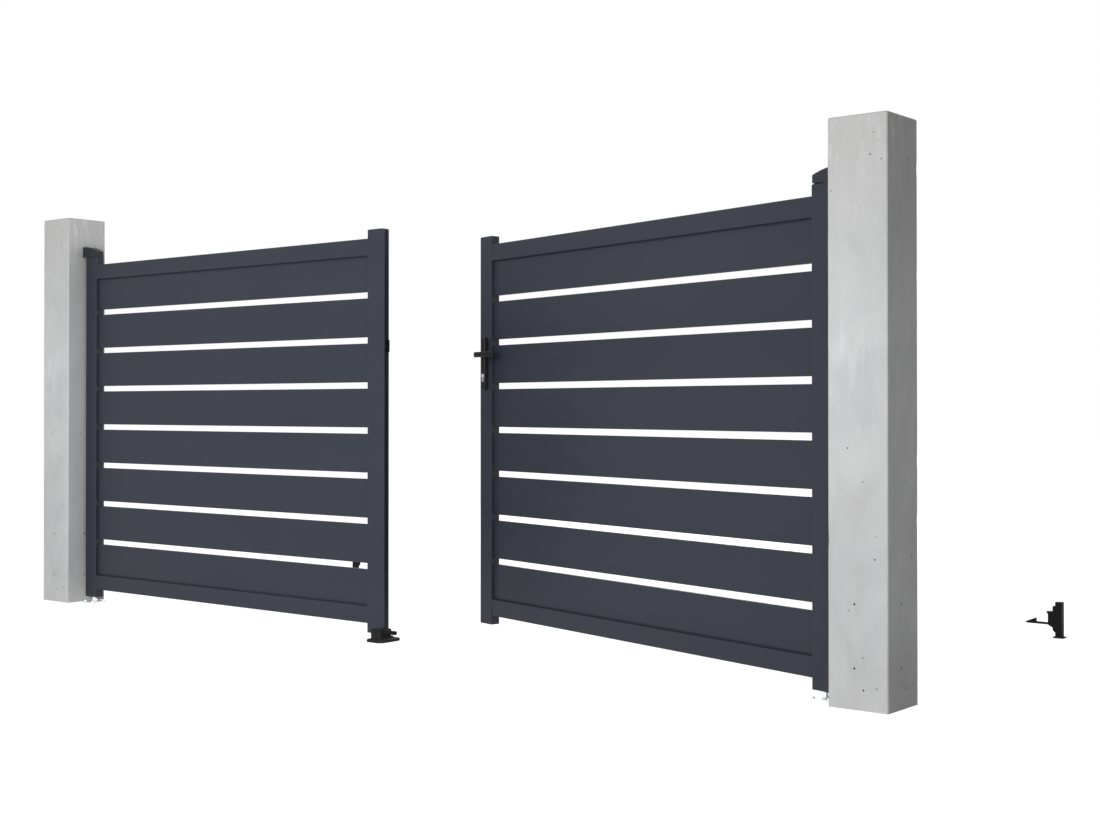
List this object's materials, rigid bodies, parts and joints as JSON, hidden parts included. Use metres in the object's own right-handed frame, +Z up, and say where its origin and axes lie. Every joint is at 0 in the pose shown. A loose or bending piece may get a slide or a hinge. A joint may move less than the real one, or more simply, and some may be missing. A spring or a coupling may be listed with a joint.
{
  "type": "double-leaf swing gate with concrete posts",
  "caption": "Swing gate: wide horizontal aluminium boards in framed leaves, hung between square concrete posts, with lever lock, centre stop and hold-open catches.",
  "frame": {"origin": "middle of the left post's foot, on the ground", "axes": "+X along the opening to the right post, +Y back, the way the leaves open, +Z up"},
  "size_m": [4.375, 1.8879, 1.795],
  "materials": {
    "anthracite_coat": "satin",
    "cap_plastic": "satin",
    "black_fittings": "satin",
    "zinc_plate": "satin",
    "nickel_key": "satin",
    "lock_steel": "satin",
    "concrete": "matte"
  },
  "bodies": {
    "posts": {"left_post": "concrete", "right_post": "concrete", "left_top_hinge": "zinc_plate", "right_top_hinge": "zinc_plate", "left_hinge_cover": "cap_plastic", "right_hinge_cover": "cap_plastic", "left_floor_plate": "zinc_plate", "right_floor_plate": "zinc_plate", "left_pivot_stud": "zinc_plate", "right_pivot_stud": "zinc_plate", "centre_stop": "black_fittings", "left_catch_body": "black_fittings", "right_catch_body": "black_fittings"},
    "left_leaf": {"left_hinge_stile": "anthracite_coat", "left_lock_stile": "anthracite_coat", "left_top_rail": "anthracite_coat", "left_bottom_rail": "anthracite_coat", "left_boards": "anthracite_coat", "left_stile_caps": "cap_plastic", "left_top_bush": "cap_plastic", "left_bottom_bush": "cap_plastic", "strike_plate": "black_fittings"},
    "right_leaf": {"right_hinge_stile": "anthracite_coat", "right_lock_stile": "anthracite_coat", "right_top_rail": "anthracite_coat", "right_bottom_rail": "anthracite_coat", "right_boards": "anthracite_coat", "right_stile_caps": "cap_plastic", "right_top_bush": "cap_plastic", "right_bottom_bush": "cap_plastic", "mortise_lock": "lock_steel", "front_handle_plate": "black_fittings", "back_handle_plate": "black_fittings", "lock_cylinder": "nickel_key"},
    "handle": {"front_lever": "black_fittings", "back_lever": "black_fittings"},
    "left_catch": {"left_catch_arm": "black_fittings"},
    "right_catch": {"right_catch_arm": "black_fittings"}
  },
  "joints": [
    {"name": "left_leaf_swing", "type": "hinge", "parent": "posts", "child": "left_leaf", "pos_m": [0.163, 0, 0.03], "axis": [0, 0, 1], "range_deg": [0, 90.5]},
    {"name": "right_leaf_swing", "type": "hinge", "parent": "posts", "child": "right_leaf", "pos_m": [4.012, 0, 0.03], "axis": [0, 0, -1], "range_deg": [-14.85, 75.65]},
    {"name": "handle_turn", "type": "hinge", "parent": "right_leaf", "child": "handle", "pos_m": [2.20301, 0.47965, 1.125], "axis": [0.2563, 0.9666, 0], "range_deg": [0, 40], "stiffness_Nm_per_rad": 1.5, "springref_deg": -34.38},
    {"name": "left_catch_tilt", "type": "hinge", "parent": "posts", "child": "left_catch", "pos_m": [0.11055, 1.76993, 0.054], "axis": [0, 1, 0], "range_deg": [0, 16], "stiffness_Nm_per_rad": 0.4, "springref_deg": -28.65},
    {"name": "right_catch_tilt", "type": "hinge", "parent": "posts", "child": "right_catch", "pos_m": [4.06405, 1.72493, 0.054], "axis": [0, -1, 0], "range_deg": [0, 16], "stiffness_Nm_per_rad": 0.4, "springref_deg": -28.65}
  ]
}
